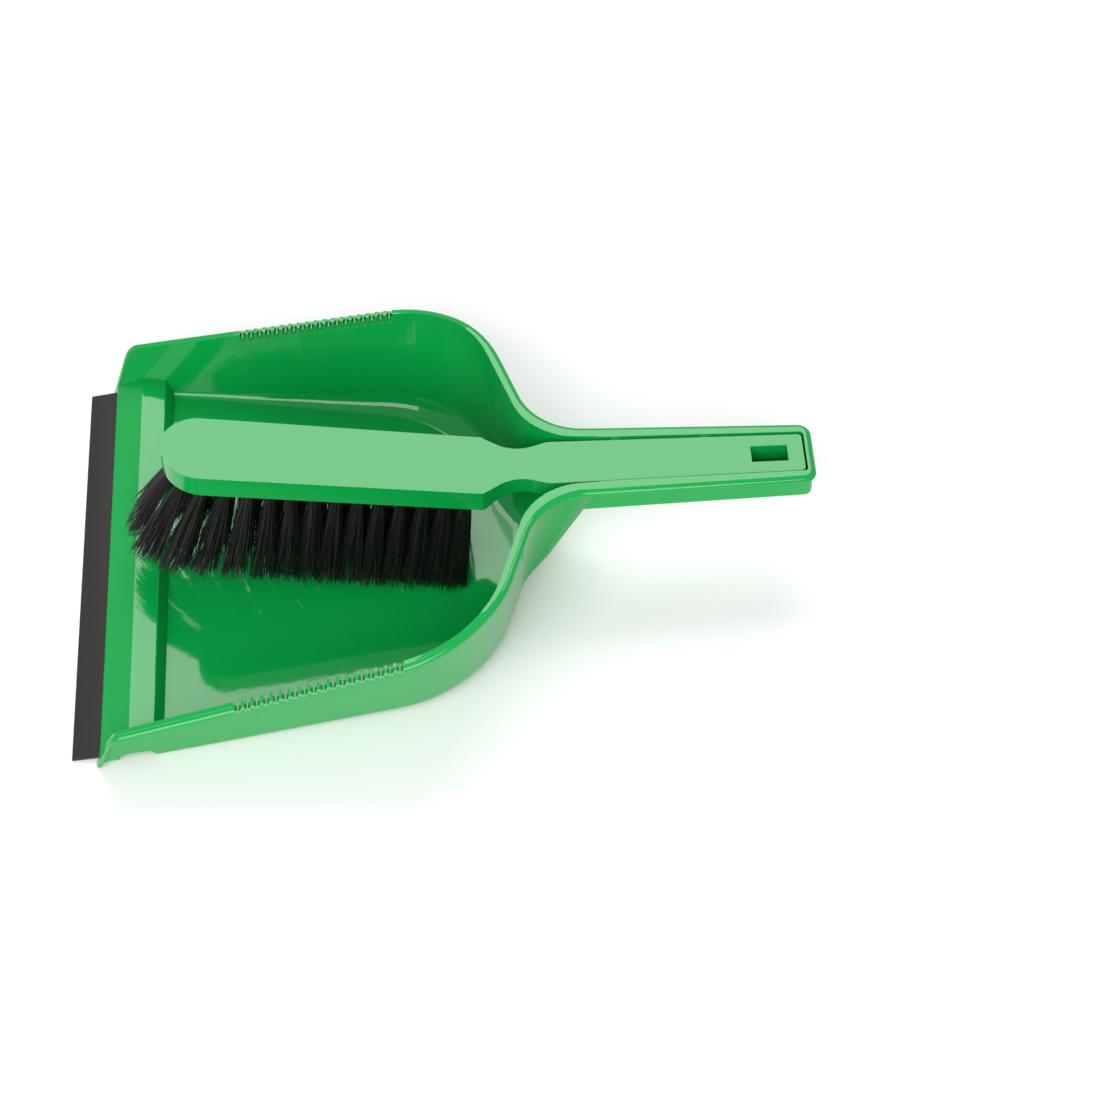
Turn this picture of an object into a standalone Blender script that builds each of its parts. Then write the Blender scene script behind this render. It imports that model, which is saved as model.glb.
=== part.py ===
"""Dustpan with a rubber lip, and the hand brush that lies in its hollow handle.

The pan is one moulding: a tray with leaning walls and a flange round its rim, a ramp at the
mouth, comb teeth cut in both side rims, and a channel for a handle.  A rubber lip hangs from
a bead in the ramp's front edge.  The brush is a second moulding, a block and a handle, with
tufts of bristle set in blind holes.

Sizes are in metres.  Along the object, x runs from the lip's edge (0) to the end of the
handle (OVERALL_LENGTH), y is measured from the plane of symmetry and z from the floor.  The
empty "dustpan_frame" shifts all of it, so that the origin is the middle of the footprint.
"""
import math

import bmesh
import bpy
from mathutils import Matrix, Vector

# ------------------------------------------------------------------ driving dimensions
OVERALL_LENGTH = 0.330          # lip's edge to the end of the pan's handle
GAP = 0.0003                    # left between pieces that touch
WALL = 0.0023                   # thickness of the tray's walls
FLOOR = 0.0026                  # thickness of the tray's floor
FLOOR_FILLET = 0.006            # radius between the floor and the walls
FLANGE_THICKNESS = 0.0026       # of the flange round the rim
ARC_STEPS = 8                   # straight pieces in each rounded corner

# Tray walls: half outlines of the outer face, (x, y, corner radius), on the floor and at
# WALL_TOP, which is as high as the rim ever comes.
WALL_TOP = 0.060
MOUTH_X = 0.004
MOUTH_HALF = 0.1096             # half width of the tray's foot at the mouth
BACK_HALF = 0.0845              # and at its back corners
MOUTH_LEAN = 0.0121             # how far the walls lean out by WALL_TOP, at the mouth
BACK_LEAN = 0.0161              # and at the back corners
THROAT_HALF = 0.0152            # half width of the back wall, where the handle leaves it
WALL_FOOT = [(MOUTH_X, MOUTH_HALF, 0), (0.1800, BACK_HALF, 0.062), (0.1985, 0.0280, 0.035),
             (0.2045, THROAT_HALF, 0)]
WALL_HEAD = [(MOUTH_X, MOUTH_HALF + MOUTH_LEAN, 0), (0.1795, BACK_HALF + BACK_LEAN, 0.057),
             (0.2073, THROAT_HALF, 0.033), (0.2360, THROAT_HALF, 0)]

# Flange, seen from above, and the rim's line, seen from the side.
HANDLE_END_HALF = 0.0165        # half the width of the flange at the end of the handle
HANDLE_CORNER = 0.006
FLANGE_MOUTH = 0.0052           # how far the flange stands out of the foot's outline at the mouth
FLANGE_BACK = 0.0015            # and out of the leaning wall at the back corners
FLANGE_PLAN = [(0.0080, MOUTH_HALF - 0.0008, 0), (0.0215, MOUTH_HALF + FLANGE_MOUTH, 0.010),
               (0.1816, BACK_HALF + BACK_LEAN + FLANGE_BACK, 0.060), (0.2085, THROAT_HALF + 0.0049, 0.030)]
RIM_LINE = [(0.0084, -0.003, 0), (0.0188, 0.0263, 0.010), (0.1840, 0.0599, 0.060)]
RIM_END_HEIGHT = 0.0569         # top of the flange at the end of the handle

# Ramp behind the mouth, seen from the side, and the hollow under it.
RAMP_FRONT = 0.0114
RAMP_LINE = [(RAMP_FRONT, 0.0050), (0.0253, 0.0112), (0.0363, 0.0106), (0.0398, 0.0020)]
RAMP_HOLLOW = [(0.0205, 0.0060), (0.0258, 0.0072), (0.0345, 0.0064), (0.0378, 0.0000)]
FRONT_LIFT = 0.0004             # the ramp's underside stays this far off the floor
WING_TAB = 0.0008               # width left of the wings' front edges, beside the lip
WING_EDGE = 0.0045              # height of the wings' lower edge behind the tab

# Comb in both side rims.
COMB_START = 0.0735
COMB_TEETH = 17
COMB_PITCH = 0.00408
TOOTH = 0.0012
COMB_DEPTH = 0.0019             # less than the flange's thickness
COMB_REACH = 0.0090             # how far the slots' cutters reach in from outside the flange

# Handle: a channel under the flange.
CHANNEL_ROOT = (0.2300, 0.0129)  # x and half width where the channel leaves the tray
CHANNEL_END_HALF = 0.0113
CHANNEL_BOTTOM = 0.0420         # underside of the handle
CHANNEL_FLOOR = 0.0021          # thickness of its floor
END_FLANGE = 0.0036             # flange beyond the channel's end
RIB_STATIONS = (OVERALL_LENGTH - 0.0780, OVERALL_LENGTH - 0.0370)   # ribs under the brush's handle
RIB = 0.0020
NIB_STATIONS = (OVERALL_LENGTH - 0.0890, OVERALL_LENGTH - 0.0490)   # bumps that hold it
NIB_LENGTH = 0.0040
NIB_HEIGHT = 0.0016

# Rubber lip.
LIP_HALF = MOUTH_HALF - 0.0042   # half its width, clear of both walls
LIP_PIVOT = (0.0165, 0.0030)    # x and z of the middle of the bead
BEAD = 0.0011                   # radius
BEAD_SIDES = 16
LIP_ROOT = 0.0016               # thickness beside the bead
LIP_EDGE = 0.0009               # thickness at the edge
LIP_CLEAR = 0.0003              # height of the edge above the floor
LIP_LIFT = math.radians(8)      # how far the lip bends up

# Brush, seen from above: half outline from the round nose to the end of the handle.
NOSE_X = 0.0445
BLOCK_HALF = 0.0175
BLOCK_BACK = (0.1832, 0.0164)
NECK = (0.1975, 0.0070)
HANDLE_START = (0.2125, 0.0120)
BRUSH_GAP = 0.0009              # between the brush's handle and the channel
# Seen from the side: top of the block, which rises to the nose, and of the handle.
NOSE_HEIGHT = 0.0830
BEND = (0.1830, 0.0586)
BEND_RADIUS = 0.060
UNDERSIDE_STEP = 0.008          # length over which the block's underside rises to the handle's
BRUSH_END_HEIGHT = 0.0562
BLOCK_THICKNESS = 0.0110
GRIP_THICKNESS = 0.0085
HANG_SLOT_MARGIN = 0.0072       # between the slot and the end of the handle
HANG_SLOT_LENGTH = 0.0158
HANG_SLOT_HALF = 0.0042

# Tufts: an outer row that goes round the nose and two straight inner rows.
TUFT_LENGTH = 0.0480            # below the block
TUFT_ROOT = 0.0021              # radius in its hole
TUFT_HOLE_DEPTH = 0.0070
TUFT_SIDES = 10
OUTER_ROW_Y = 0.0115
INNER_ROW_Y = 0.0040
ROW_BACK = 0.1760
ROW_HALF_COUNT = 14             # tufts on each side of the outer row, besides the one at the nose
INNER_COUNT = 12
INNER_FRONT = 0.0660
OUTER_SPLAY = math.radians(14)
INNER_SPLAY = math.radians(4)
NOSE_FAN = math.radians(24)     # extra forward lean of the first tufts
NOSE_FAN_LENGTH = 0.045         # over which that lean fades
TIP_ALONG = 0.0041              # half sizes of a tuft at its tip
TIP_ACROSS = 0.0043
FLOOR_CLEAR = 0.0006            # between the bristles and the tray's floor

PLASTIC_GREEN = (0.035, 0.42, 0.11, 1.0)
RUBBER_BLACK = (0.022, 0.020, 0.019, 1.0)
BRISTLE_BLACK = (0.010, 0.010, 0.011, 1.0)

FAR = 0.060                     # how far cutters stand out of what they cut
SLIVER = 0.00003                # corners closer than this are one corner
BRUSH_END_X = OVERALL_LENGTH - END_FLANGE - BRUSH_GAP


# ------------------------------------------------------------------ scene and materials
def clear_scene():
    for old in list(bpy.data.objects):
        bpy.data.objects.remove(old, do_unlink=True)


def new_collection(name):
    collection = bpy.data.collections.new(name)
    bpy.context.scene.collection.children.link(collection)
    return collection


def plain_material(name, colour, roughness):
    material = bpy.data.materials.new(name)
    material.use_nodes = True
    shader = material.node_tree.nodes["Principled BSDF"]
    shader.inputs["Base Color"].default_value = colour
    shader.inputs["Roughness"].default_value = roughness
    shader.inputs["Metallic"].default_value = 0.0
    return material


# ------------------------------------------------------------------ outlines
def rounded(corners, steps=ARC_STEPS):
    """Points of an open run of (x, y, radius) corners, each rounded by an arc."""
    points = [Vector(corners[0][:2])]
    for before, corner, after in zip(corners, corners[1:], corners[2:]):
        middle = Vector(corner[:2])
        radius = corner[2]
        if radius == 0:
            points.append(middle)
            continue
        back = (Vector(before[:2]) - middle).normalized()
        ahead = (Vector(after[:2]) - middle).normalized()
        half = 0.5 * back.angle(ahead)
        centre = middle + (back + ahead).normalized() * (radius / math.sin(half))
        start = middle + back * (radius / math.tan(half)) - centre
        turn = (math.pi - 2 * half) / steps
        if back.x * ahead.y - back.y * ahead.x > 0:
            turn = -turn
        for step in range(steps + 1):
            arm = Matrix.Rotation(turn * step, 2) @ start
            points.append(centre + arm)
    points.append(Vector(corners[-1][:2]))
    return points


def offset(corners, distance):
    """The same run, moved to its right by a distance, with its radii to suit."""
    points = [Vector(corner[:2]) for corner in corners]
    ways = [(b - a).normalized() for a, b in zip(points, points[1:])]
    rights = [Vector((way.y, -way.x)) for way in ways]
    moved = [(*(points[0] + rights[0] * distance), 0)]
    for index in range(1, len(points) - 1):
        way, onward = ways[index - 1], ways[index]
        mitre = (rights[index - 1] + rights[index]).normalized()
        place = points[index] + mitre * (distance / mitre.dot(rights[index]))
        bends_right = way.x * onward.y - way.y * onward.x < 0
        radius = corners[index][2] + (-distance if bends_right else distance)
        moved.append((*place, radius if corners[index][2] else 0))
    moved.append((*(points[-1] + rights[-1] * distance), 0))
    return moved


def mirrored(points):
    """A closed outline from its half, which runs from front to back at y above 0."""
    return points + [Vector((point.x, -point.y)) for point in reversed(points)]


def on_line(start, end, x):
    """Height or half width at x on the straight line between two points."""
    share = (x - start[0]) / (end[0] - start[0])
    return start[1] + (end[1] - start[1]) * share


def wall_ring(z, inset, front_x):
    """Closed outline of the tray's walls at height z, from front_x to the handle."""
    share = z / WALL_TOP
    corners = []
    for low, high in zip(WALL_FOOT, WALL_HEAD):
        corners.append(tuple(a + (b - a) * share for a, b in zip(low, high)))
    corners = offset(corners, inset)
    front_y = on_line(corners[0], corners[1], front_x)
    corners[0] = (front_x, front_y, 0)
    return [Vector((point.x, point.y, z)) for point in mirrored(rounded(corners))]


# ------------------------------------------------------------------ solids
def add_object(name, mesh, collection, frame):
    part = bpy.data.objects.new(name, mesh)
    collection.objects.link(part)
    part.parent = frame
    return part


def loft(name, rings, collection, frame):
    """A closed solid through rings of the same number of points, lowest first."""
    body = bmesh.new()
    layers = [[body.verts.new(point) for point in ring] for ring in rings]
    count = len(rings[0])
    for low, high in zip(layers, layers[1:]):
        for index in range(count):
            following = (index + 1) % count
            body.faces.new((low[index], low[following], high[following], high[index]))
    body.faces.new(list(reversed(layers[0])))
    body.faces.new(layers[-1])
    bmesh.ops.recalc_face_normals(body, faces=body.faces)
    mesh = bpy.data.meshes.new(name)
    body.to_mesh(mesh)
    body.free()
    return add_object(name, mesh, collection, frame)


def plate(name, outline, low, high, collection, frame, upright=False):
    """A flat outline given thickness: between two heights, or upright between two y values."""
    curve = bpy.data.curves.new(name + "_outline", "CURVE")
    curve.dimensions = "2D"
    curve.fill_mode = "BOTH"
    curve.extrude = 0.5 * (high - low)
    spline = curve.splines.new("POLY")
    spline.points.add(len(outline) - 1)
    for spot, point in zip(spline.points, outline):
        spot.co = (point[0], point[1], 0, 1)
    spline.use_cyclic_u = True
    drawn = bpy.data.objects.new(name + "_drawn", curve)
    collection.objects.link(drawn)
    graph = bpy.context.evaluated_depsgraph_get()
    mesh = bpy.data.meshes.new_from_object(drawn.evaluated_get(graph))
    mesh.name = name
    bpy.data.objects.remove(drawn, do_unlink=True)
    body = bmesh.new()
    body.from_mesh(mesh)
    bmesh.ops.remove_doubles(body, verts=body.verts, dist=0.00001)
    bmesh.ops.recalc_face_normals(body, faces=body.faces)
    body.to_mesh(mesh)
    body.free()
    if upright:
        mesh.transform(Matrix.Rotation(math.pi / 2, 4, "X"))
        mesh.transform(Matrix.Translation((0, 0.5 * (low + high), 0)))
    else:
        mesh.transform(Matrix.Translation((0, 0, 0.5 * (low + high))))
    return add_object(name, mesh, collection, frame)


def boxes(name, places, collection, frame):
    """Boxes in one mesh, each given by its two corners."""
    body = bmesh.new()
    for low, high in places:
        low, high = Vector(low), Vector(high)
        size = high - low
        where = Matrix.Translation((low + high) / 2) @ Matrix.Diagonal((*size, 1))
        bmesh.ops.create_cube(body, size=1, matrix=where)
    mesh = bpy.data.meshes.new(name)
    body.to_mesh(mesh)
    body.free()
    return add_object(name, mesh, collection, frame)


def combine(target, tool, operation):
    """Cut, join or intersect target with a tool, which is then only a guide."""
    step = target.modifiers.new(operation.lower() + "_" + tool.name, "BOOLEAN")
    step.operation = operation
    step.solver = "EXACT"
    step.object = tool
    tool.hide_render = True
    tool.display_type = "WIRE"


# ------------------------------------------------------------------ lines shared by pieces
RIM_END = (OVERALL_LENGTH, RIM_END_HEIGHT)
BEYOND_END = OVERALL_LENGTH + FAR
RIM_LINE_FULL = RIM_LINE + [(BEYOND_END, on_line(RIM_LINE[-1], RIM_END, BEYOND_END), 0)]


def rim_height(x):
    """Top of the flange behind the rounded front corner."""
    line = RIM_LINE[1:] if x < RIM_LINE[-1][0] else RIM_LINE_FULL[2:]
    return on_line(line[0], line[1], x)


def channel_half(x):
    return on_line(CHANNEL_ROOT, (OVERALL_LENGTH - END_FLANGE, CHANNEL_END_HALF), x)


def brush_handle_half(x):
    return on_line(HANDLE_START, (BRUSH_END_X, channel_half(BRUSH_END_X) - BRUSH_GAP), x)


def block_top(x):
    return on_line((NOSE_X, NOSE_HEIGHT), BEND, x)


def handle_top(x):
    return on_line(BEND, (BRUSH_END_X, BRUSH_END_HEIGHT), x)


BLOCK_TILT = math.atan2(NOSE_HEIGHT - BEND[1], BEND[0] - NOSE_X)
BLOCK_DROP = BLOCK_THICKNESS / math.cos(BLOCK_TILT)


def block_bottom(x):
    return block_top(x) - BLOCK_DROP


# ------------------------------------------------------------------ the pan
def tray_cavity(cutters, frame):
    """The space inside the tray, with a rounded foot, less the ramp."""
    rings = []
    for step in range(4):
        angle = step / 3 * math.pi / 2
        inset = WALL + FLOOR_FILLET * (1 - math.sin(angle))
        rings.append(wall_ring(FLOOR + FLOOR_FILLET * (1 - math.cos(angle)), inset, -FAR))
    rings.append(wall_ring(WALL_TOP + FAR / 3, WALL, -FAR))
    cavity = loft("tray_cavity", rings, cutters, frame)
    ramp = [(RAMP_FRONT, -FAR)] + RAMP_LINE + [(RAMP_LINE[-1][0], -FAR)]
    wide = WALL_HEAD[0][1] + FAR
    combine(cavity, plate("ramp_solid", ramp, -wide, wide, cutters, frame, upright=True), "DIFFERENCE")
    return cavity


def comb_slots(cutters, frame):
    """Slots between the comb's teeth, which run across the whole rim."""
    places = []
    for index in range(COMB_TEETH + 1):
        x = COMB_START + index * COMB_PITCH
        outer = on_line(FLANGE_PLAN[1], FLANGE_PLAN[2], x) + WALL
        top = rim_height(x)
        for side in (1, -1):
            ends = sorted((side * outer, side * (outer - COMB_REACH)))
            places.append(((x, ends[0], top - COMB_DEPTH), (x + COMB_PITCH - TOOTH, ends[1], top + FAR)))
    return boxes("comb_slots", places, cutters, frame)


def lip_groove(cutters, frame):
    """Room for the lip's bead and for its blade to bend."""
    x, z = LIP_PIVOT
    radius = BEAD + GAP
    mouth = RAMP_FRONT - FAR / 10
    droop = math.atan2(z - LIP_CLEAR - LIP_EDGE / 2, x)
    low = z - (x - mouth) * math.tan(droop) - LIP_ROOT / 2 - GAP
    high = z - (x - mouth) * math.tan(droop - LIP_LIFT) + LIP_ROOT / 2 + GAP
    slot = [(x, z - LIP_ROOT / 2 - GAP), (x, z + LIP_ROOT / 2 + GAP), (mouth, high), (mouth, low)]
    half = LIP_HALF + GAP
    round_part = [(x + radius * math.cos(turn), z + radius * math.sin(turn))
                  for turn in (2 * math.pi * index / BEAD_SIDES for index in range(BEAD_SIDES))]
    groove = plate("bead_groove", round_part, -half, half, cutters, frame, upright=True)
    combine(groove, plate("blade_slot", slot, -half, half, cutters, frame, upright=True), "UNION")
    return groove


def channel_outline(inset, start_x):
    """Half outline of the channel, moved in by inset, from start_x to its end."""
    end = OVERALL_LENGTH - END_FLANGE - inset
    corner = 0.0015 - inset
    half = [(start_x, channel_half(start_x) - inset, 0), (end, channel_half(end) - inset, corner),
            (end, 0, 0)]
    points = rounded(half, 4)
    return points[:-1] + [Vector((point.x, -point.y)) for point in reversed(points[:-1])]


def make_dustpan(parts, cutters, frame):
    wide = WALL_HEAD[0][1] + FAR
    walls = [wall_ring(-FLOOR, 0, MOUTH_X), wall_ring(WALL_TOP + FLOOR, 0, MOUTH_X)]
    pan = loft("dustpan", walls, parts, frame)

    line = rounded(RIM_LINE_FULL)
    wall_line = rounded(offset(RIM_LINE_FULL, FLANGE_THICKNESS / 2))
    above = wall_line + [(OVERALL_LENGTH + FAR, 3 * FAR), (-FAR, 3 * FAR), (-FAR, wall_line[0].y)]
    combine(pan, plate("above_rim", above, -wide, wide, cutters, frame, upright=True), "DIFFERENCE")

    end = [(OVERALL_LENGTH, HANDLE_END_HALF, HANDLE_CORNER), (OVERALL_LENGTH, 0, 0)]
    half_plan = rounded(FLANGE_PLAN + end)[:-1]
    flange = plate("flange", mirrored(half_plan), -FAR, 2 * FAR, cutters, frame)
    under = rounded(offset(RIM_LINE_FULL, FLANGE_THICKNESS))
    band = line + list(reversed(under))
    combine(flange, plate("rim_band", band, -wide, wide, cutters, frame, upright=True), "INTERSECT")
    combine(pan, flange, "UNION")

    root = CHANNEL_ROOT[0] - 0.018
    outside = channel_outline(-WALL, root)
    top = RIM_END_HEIGHT - FLANGE_THICKNESS / 2
    combine(pan, plate("handle_shell", outside, CHANNEL_BOTTOM, top, cutters, frame), "UNION")

    combine(pan, tray_cavity(cutters, frame), "DIFFERENCE")
    inside = channel_outline(0, root + 0.002)
    floor = CHANNEL_BOTTOM + CHANNEL_FLOOR
    combine(pan, plate("channel", inside, floor, floor + FAR, cutters, frame), "DIFFERENCE")

    ground = [(-FAR, FRONT_LIFT), (RAMP_HOLLOW[0][0], FRONT_LIFT)] + RAMP_HOLLOW
    ground += [(OVERALL_LENGTH, RAMP_HOLLOW[-1][1]), (OVERALL_LENGTH, -FAR), (-FAR, -FAR)]
    combine(pan, plate("underside", ground, -wide, wide, cutters, frame, upright=True), "DIFFERENCE")
    inner = LIP_HALF + 2 * GAP
    tab_back = RAMP_FRONT + WING_TAB
    arch_back = RAMP_HOLLOW[0][0] + GAP
    mouth = ((-FAR, -inner, -FAR), (RAMP_FRONT, inner, FLOOR + FLOOR_FILLET))
    combine(pan, boxes("mouth_relief", [mouth], cutters, frame), "DIFFERENCE")
    arches = [((tab_back, inner, -FAR), (arch_back, wide, WING_EDGE)),
              ((tab_back, -wide, -FAR), (arch_back, -inner, WING_EDGE))]
    combine(pan, boxes("wing_arches", arches, cutters, frame), "DIFFERENCE")
    combine(pan, lip_groove(cutters, frame), "DIFFERENCE")
    combine(pan, comb_slots(cutters, frame), "DIFFERENCE")

    ribs = []
    for x in RIB_STATIONS:
        width = channel_half(x + RIB) + WALL / 2
        height = handle_top(x + RIB) - GRIP_THICKNESS - GAP
        ribs.append(((x, -width, floor - CHANNEL_FLOOR / 2), (x + RIB, width, height)))
    nibs = []
    for x in NIB_STATIONS:
        low = handle_top(x) - NIB_HEIGHT
        for side in (1, -1):
            ends = sorted((side * (brush_handle_half(x) + GAP), side * (channel_half(x) + WALL / 2)))
            nibs.append(((x, ends[0], low), (x + NIB_LENGTH, ends[1], low + NIB_HEIGHT)))
    combine(pan, boxes("ribs_and_nibs", ribs + nibs, cutters, frame), "UNION")
    sliver = pan.modifiers.new("close_slivers", "WELD")
    sliver.merge_threshold = SLIVER
    return pan


# ------------------------------------------------------------------ the rubber lip
def make_lip(parts, frame):
    """Bead and blade in one strip, modelled about the bead's middle."""
    x, z = LIP_PIVOT
    pivot = bpy.data.objects.new("lip_pivot", None)
    parts.objects.link(pivot)
    pivot.parent = frame
    pivot.location = (x, 0, z)
    open_angle = math.asin(LIP_ROOT / 2 / BEAD)
    droop = math.atan2(z - LIP_CLEAR - LIP_EDGE / 2, x)
    middle = math.pi + droop
    outline = [(-x, LIP_CLEAR - z), (-x, LIP_CLEAR - z + LIP_EDGE)]
    sweep = 2 * math.pi - 2 * open_angle
    for index in range(BEAD_SIDES + 1):
        turn = middle - open_angle - sweep * index / BEAD_SIDES
        outline.append((BEAD * math.cos(turn), BEAD * math.sin(turn)))
    return plate("rubber_lip", outline, -LIP_HALF, LIP_HALF, parts, pivot, upright=True)


# ------------------------------------------------------------------ the brush
def tuft_places():
    """(name, x, y, outward direction) of each tuft's root on the block's underside."""
    places = []
    straight = ROW_BACK - (NOSE_X + BLOCK_HALF)
    bend = OUTER_ROW_Y * math.pi / 2
    pitch = (straight + bend) / ROW_HALF_COUNT
    for index in range(ROW_HALF_COUNT):
        along = index * pitch
        if along <= straight:
            x, y, outward = ROW_BACK - along, OUTER_ROW_Y, Vector((0, 1))
        else:
            turn = (along - straight) / OUTER_ROW_Y
            outward = Vector((-math.sin(turn), math.cos(turn)))
            x = NOSE_X + BLOCK_HALF + OUTER_ROW_Y * outward.x
            y = OUTER_ROW_Y * outward.y
        number = index + 1
        places.append(("tuft_outer_left_%02d" % number, x, y, outward))
        places.append(("tuft_outer_right_%02d" % number, x, -y, Vector((outward.x, -outward.y))))
    places.append(("tuft_nose", NOSE_X + BLOCK_HALF - OUTER_ROW_Y, 0, Vector((-1, 0))))
    step = (ROW_BACK - pitch / 2 - INNER_FRONT) / (INNER_COUNT - 1)
    for index in range(INNER_COUNT):
        x = ROW_BACK - pitch / 2 - index * step
        places.append(("tuft_inner_left_%02d" % (index + 1), x, INNER_ROW_Y, None))
        places.append(("tuft_inner_right_%02d" % (index + 1), x, -INNER_ROW_Y, None))
    return places


def tuft_direction(x, y, outward):
    """Unit vector from root to tip: down from the block, splayed out and fanned at the nose."""
    down = Vector((-math.sin(BLOCK_TILT), 0, -math.cos(BLOCK_TILT)))
    fan = NOSE_FAN * max(0.0, 1 - (x - NOSE_X) / NOSE_FAN_LENGTH)
    forward = Vector((-1, 0, 0)) * math.tan(fan)
    if outward is None:
        side = Vector((0, math.copysign(math.tan(INNER_SPLAY), y), 0))
    else:
        side = Vector((0, outward.y * math.tan(OUTER_SPLAY), 0))
    return (down + forward + side).normalized()


def ring_about(centre, axis_along, axis_across, along, across):
    turns = [2 * math.pi * index / TUFT_SIDES for index in range(TUFT_SIDES)]
    return [centre + axis_along * (along * math.cos(turn)) + axis_across * (across * math.sin(turn))
            for turn in turns]


def make_tuft(place, parts, frame):
    name, x, y, outward = place
    up = Vector((math.sin(BLOCK_TILT), 0, math.cos(BLOCK_TILT)))
    along = Vector((math.cos(BLOCK_TILT), 0, -math.sin(BLOCK_TILT)))
    across = Vector((0, 1, 0))
    root = Vector((x, y, block_bottom(x)))
    way = tuft_direction(x, y, outward)
    reach = (root.z - FLOOR - FLOOR_CLEAR - TIP_ALONG * math.sin(BLOCK_TILT)) / -way.z
    tip = root + way * min(TUFT_LENGTH, reach)
    rings = [
        ring_about(tip, along, across, TIP_ALONG, TIP_ACROSS),
        ring_about(root - up * GAP, along, across, TUFT_ROOT, TUFT_ROOT),
        ring_about(root + up * (TUFT_HOLE_DEPTH - GAP), along, across, TUFT_ROOT, TUFT_ROOT),
    ]
    return loft(name, rings, parts, frame)


def tuft_holes(cutters, frame):
    """Blind holes for the tufts, square to the block's underside."""
    up = Vector((math.sin(BLOCK_TILT), 0, math.cos(BLOCK_TILT)))
    along = Vector((math.cos(BLOCK_TILT), 0, -math.sin(BLOCK_TILT)))
    body = bmesh.new()
    radius = TUFT_ROOT + GAP
    depth = 2 * TUFT_HOLE_DEPTH
    for _, x, y, _ in tuft_places():
        root = Vector((x, y, block_bottom(x)))
        turn = Matrix((along, Vector((0, 1, 0)), up)).transposed().to_4x4()
        where = Matrix.Translation(root) @ turn
        bmesh.ops.create_cone(body, cap_ends=True, segments=TUFT_SIDES, radius1=radius, radius2=radius,
                              depth=depth, matrix=where @ Matrix.Rotation(math.pi / 2, 4, "Z"))
    mesh = bpy.data.meshes.new("tuft_holes")
    body.to_mesh(mesh)
    body.free()
    return add_object("tuft_holes", mesh, cutters, frame)


def make_brush_body(parts, cutters, frame):
    """The plan of the brush, cut to its side view: a block and a handle in one piece."""
    end_half = brush_handle_half(BRUSH_END_X)
    half = rounded([(NOSE_X, 0, 0), (NOSE_X, BLOCK_HALF, BLOCK_HALF), (*BLOCK_BACK, 0.002), (*NECK, 0.018),
                    (*HANDLE_START, 0.008), (BRUSH_END_X, end_half, 0.002), (BRUSH_END_X, 0, 0)], 12)[1:-1]
    outline = half + [Vector((point.x, -point.y)) for point in reversed(half[1:])]
    body = plate("brush_body", outline, -FAR, 2 * FAR, parts, frame)
    top = [(NOSE_X - FAR, block_top(NOSE_X - FAR), 0), (*BEND, BEND_RADIUS),
           (OVERALL_LENGTH, handle_top(OVERALL_LENGTH), 0)]
    back_x = BLOCK_BACK[0]
    root_x = back_x + UNDERSIDE_STEP
    bottom = [(NOSE_X - FAR, block_bottom(NOSE_X - FAR), 0), (back_x, block_bottom(back_x), 0.004),
              (root_x, handle_top(root_x) - GRIP_THICKNESS, 0.010),
              (OVERALL_LENGTH, handle_top(OVERALL_LENGTH) - GRIP_THICKNESS, 0)]
    side = rounded(top) + list(reversed(rounded(bottom)))
    combine(body, plate("brush_side_view", side, -FAR, FAR, cutters, frame, upright=True), "INTERSECT")
    combine(body, tuft_holes(cutters, frame), "DIFFERENCE")
    slot_end = BRUSH_END_X - HANG_SLOT_MARGIN
    slot = ((slot_end - HANG_SLOT_LENGTH, -HANG_SLOT_HALF, 0), (slot_end, HANG_SLOT_HALF, 2 * FAR))
    combine(body, boxes("hang_slot", [slot], cutters, frame), "DIFFERENCE")
    return body


# ------------------------------------------------------------------ assembly
def shade(part, material):
    part.data.materials.clear()
    part.data.materials.append(material)
    part.data.shade_smooth()
    part.data.set_sharp_from_angle(angle=math.radians(35))


def main():
    clear_scene()
    parts = new_collection("dustpan_and_brush")
    cutters = new_collection("cutters")
    frame = bpy.data.objects.new("dustpan_frame", None)
    parts.objects.link(frame)
    frame.location = (-OVERALL_LENGTH / 2, 0, 0)

    pan_green = plain_material("pan_green_plastic", PLASTIC_GREEN, 0.35)
    brush_green = plain_material("brush_green_plastic", PLASTIC_GREEN, 0.32)
    rubber = plain_material("lip_rubber", RUBBER_BLACK, 0.60)
    bristle = plain_material("black_bristle", BRISTLE_BLACK, 0.40)

    shade(make_dustpan(parts, cutters, frame), pan_green)
    shade(make_lip(parts, frame), rubber)
    shade(make_brush_body(parts, cutters, frame), brush_green)
    for place in tuft_places():
        shade(make_tuft(place, parts, frame), bristle)


main()
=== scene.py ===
# %% [markdown]
# # Dustpan with the hand brush in its handle
# The set is two mouldings in one green plastic and a strip of rubber. The pan is a tray with
# leaning walls, a stepped rim with comb teeth, a ramp at the mouth and a channel for a handle.
# The brush lies in that channel, and its bristles stand in blind holes in the block.
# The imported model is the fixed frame. It says where each piece is and how long it is, and the
# cells below make the surfaces that a person sees.

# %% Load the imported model
import math
import random

import bmesh
import bpy
from mathutils import Matrix, Vector


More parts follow.
